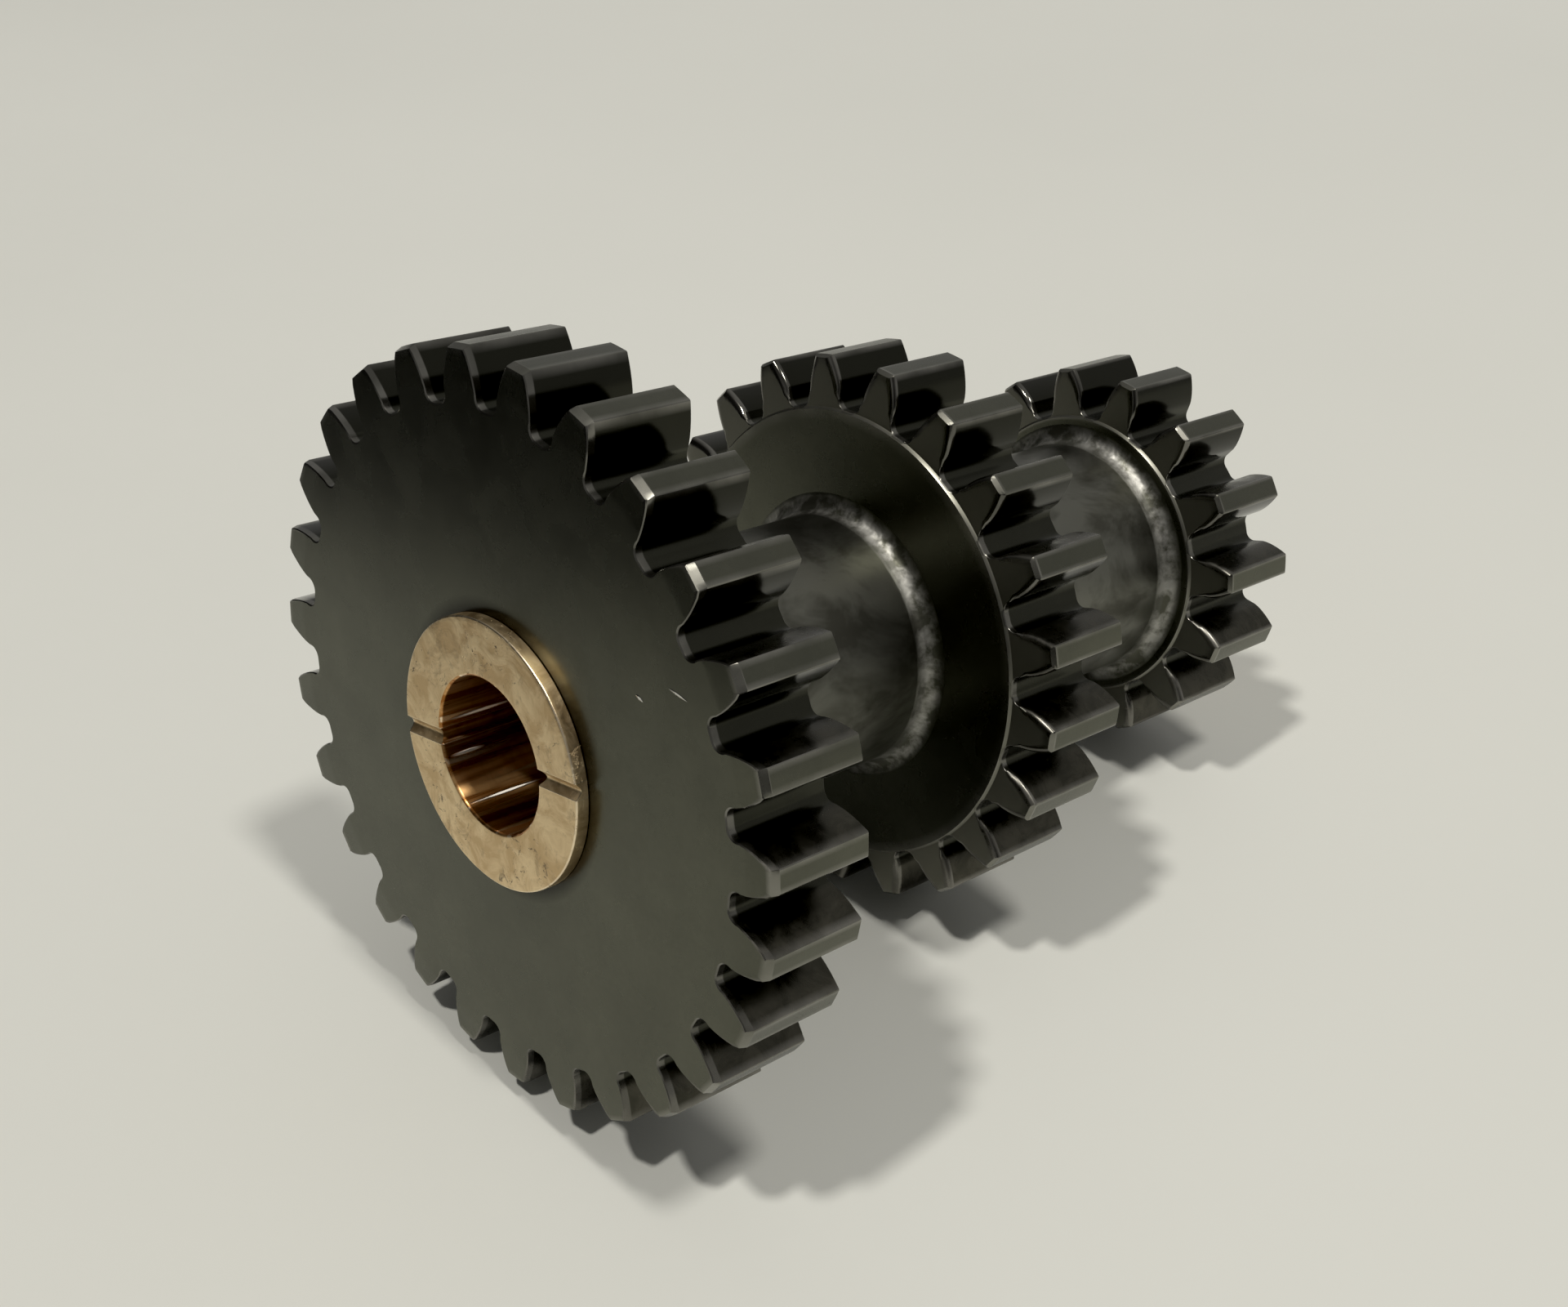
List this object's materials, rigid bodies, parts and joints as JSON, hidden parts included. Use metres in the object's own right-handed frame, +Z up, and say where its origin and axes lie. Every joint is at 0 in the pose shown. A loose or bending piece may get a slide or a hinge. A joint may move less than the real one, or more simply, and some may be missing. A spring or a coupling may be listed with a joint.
{
  "type": "cluster gear",
  "caption": "Gearbox cluster gear: large, middle and small stub-tooth spur rims on one steel forging, with flanged bronze bushes pressed into its bore.",
  "frame": {"origin": "on the gear axis, halfway between the two bronze thrust faces", "axes": "+Y along the gear axis from the large rim to the small rim, +Z up with one tooth of the large rim at the top, +X to the right seen from the large rim"},
  "size_m": [0.0906, 0.1186, 0.0906],
  "materials": {
    "black_oxide_steel": "blackened machined steel with a thin film of oil, worn bright along its edges",
    "bush_bronze": "machined bearing bronze, mottled and slightly stained on its thrust face, polished in the bore"
  },
  "bodies": {
    "root": {"cluster_gear": "black_oxide_steel", "front_bush": "bush_bronze", "rear_bush": "bush_bronze"}
  },
  "joints": []
}
